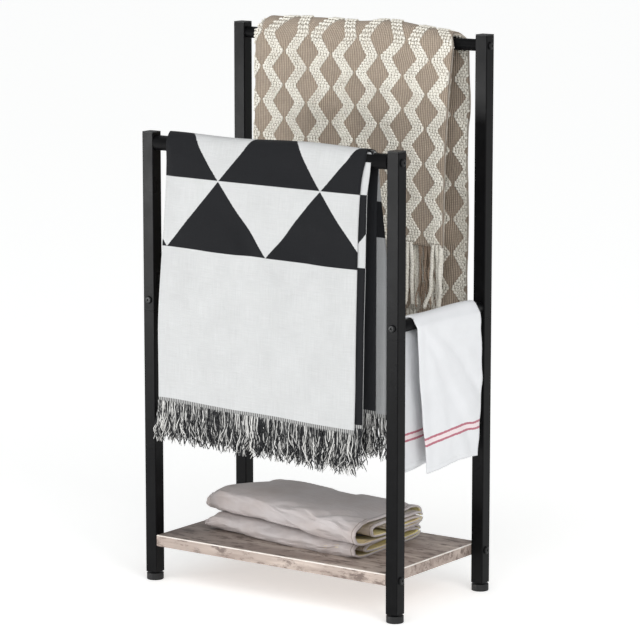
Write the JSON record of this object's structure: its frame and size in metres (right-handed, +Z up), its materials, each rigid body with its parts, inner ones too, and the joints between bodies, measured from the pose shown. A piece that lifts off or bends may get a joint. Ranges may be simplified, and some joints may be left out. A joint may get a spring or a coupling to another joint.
{
  "type": "blanket rack with quilts and throws",
  "caption": "Two-tier free-standing blanket rack in black square tube with round rails and a wood shelf, holding folded throws, a tea towel and folded quilts.",
  "frame": {"origin": "on the floor, midway between the four posts", "axes": "+Z up, +X to the object's right, -Y to its front (the low rail's side)"},
  "size_m": [0.582, 0.3425, 1.0523],
  "materials": {
    "rack_steel": "matt black powder coat",
    "bolt_steel": "black oxide",
    "insert_steel": "zinc plated",
    "black_plastic": "moulded, fine grain",
    "oak_laminate": "greige weathered oak laminate",
    "mono_cotton": "woven slub cotton, light grey and charcoal",
    "taupe_knit": "thick knit, taupe with cream cables",
    "white_cotton": "plain woven, two thin red stripes",
    "greige_cotton": "smooth washed cotton, lightly filled"
  },
  "bodies": {
    "rack": {"front_left_foot_insert": "black_plastic", "front_left_joint_sleeve": "insert_steel", "front_left_lower_post": "rack_steel", "front_left_post_cap": "black_plastic", "front_left_shelf_bolt": "bolt_steel", "front_left_upper_post": "rack_steel", "front_rail": "rack_steel", "front_rail_left_bolt": "bolt_steel", "front_rail_left_insert": "insert_steel", "front_rail_right_bolt": "bolt_steel", "front_rail_right_insert": "insert_steel", "front_right_foot_insert": "black_plastic", "front_right_joint_sleeve": "insert_steel", "front_right_lower_post": "rack_steel", "front_right_post_cap": "black_plastic", "front_right_shelf_bolt": "bolt_steel", "front_right_upper_post": "rack_steel", "left_side_rail": "rack_steel", "left_side_rail_front_bolt": "bolt_steel", "left_side_rail_front_insert": "insert_steel", "left_side_rail_rear_bolt": "bolt_steel", "left_side_rail_rear_insert": "insert_steel", "rear_left_foot_insert": "black_plastic", "rear_left_joint_sleeve": "insert_steel", "rear_left_lower_post": "rack_steel", "rear_left_post_cap": "black_plastic", "rear_left_shelf_bolt": "bolt_steel", "rear_left_upper_post": "rack_steel", "rear_rail": "rack_steel", "rear_rail_left_bolt": "bolt_steel", "rear_rail_left_insert": "insert_steel", "rear_rail_right_bolt": "bolt_steel", "rear_rail_right_insert": "insert_steel", "rear_right_foot_insert": "black_plastic", "rear_right_joint_sleeve": "insert_steel", "rear_right_lower_post": "rack_steel", "rear_right_post_cap": "black_plastic", "rear_right_shelf_bolt": "bolt_steel", "rear_right_upper_post": "rack_steel", "right_side_rail": "rack_steel", "right_side_rail_front_bolt": "bolt_steel", "right_side_rail_front_insert": "insert_steel", "right_side_rail_rear_bolt": "bolt_steel", "right_side_rail_rear_insert": "insert_steel", "shelf_board": "oak_laminate"},
    "front_left_foot": {"front_left_foot": "black_plastic"},
    "front_right_foot": {"front_right_foot": "black_plastic"},
    "rear_left_foot": {"rear_left_foot": "black_plastic"},
    "rear_right_foot": {"rear_right_foot": "black_plastic"},
    "front_throw": {"front_throw": "mono_cotton", "front_throw_front_fringe": "mono_cotton", "front_throw_back_fringe": "mono_cotton"},
    "rear_throw": {"rear_throw": "taupe_knit", "rear_throw_front_fringe": "taupe_knit", "rear_throw_back_fringe": "taupe_knit"},
    "tea_towel": {"tea_towel": "white_cotton"},
    "lower_quilt": {"lower_quilt": "greige_cotton"},
    "upper_quilt": {"upper_quilt": "greige_cotton"}
  },
  "joints": [
    {"name": "front_left_foot_screw", "type": "slide", "parent": "rack", "child": "front_left_foot", "axis": [0, 0, -1], "range_m": [0, 0.012]},
    {"name": "front_right_foot_screw", "type": "slide", "parent": "rack", "child": "front_right_foot", "axis": [0, 0, -1], "range_m": [0, 0.012]},
    {"name": "rear_left_foot_screw", "type": "slide", "parent": "rack", "child": "rear_left_foot", "axis": [0, 0, -1], "range_m": [0, 0.012]},
    {"name": "rear_right_foot_screw", "type": "slide", "parent": "rack", "child": "rear_right_foot", "axis": [0, 0, -1], "range_m": [0, 0.012]},
    {"name": "front_throw_lift", "type": "slide", "parent": "rack", "child": "front_throw", "axis": [0, 0, 1], "range_m": [0, 0.6]},
    {"name": "rear_throw_lift", "type": "slide", "parent": "rack", "child": "rear_throw", "axis": [0, 0, 1], "range_m": [0, 0.68]},
    {"name": "tea_towel_lift", "type": "slide", "parent": "rack", "child": "tea_towel", "axis": [0, 0, 1], "range_m": [0, 0.31]},
    {"name": "lower_quilt_slide", "type": "slide", "parent": "rack", "child": "lower_quilt", "axis": [0, -1, 0], "range_m": [0, 0.3]},
    {"name": "upper_quilt_slide", "type": "slide", "parent": "lower_quilt", "child": "upper_quilt", "axis": [0, -1, 0], "range_m": [0, 0.3]}
  ]
}
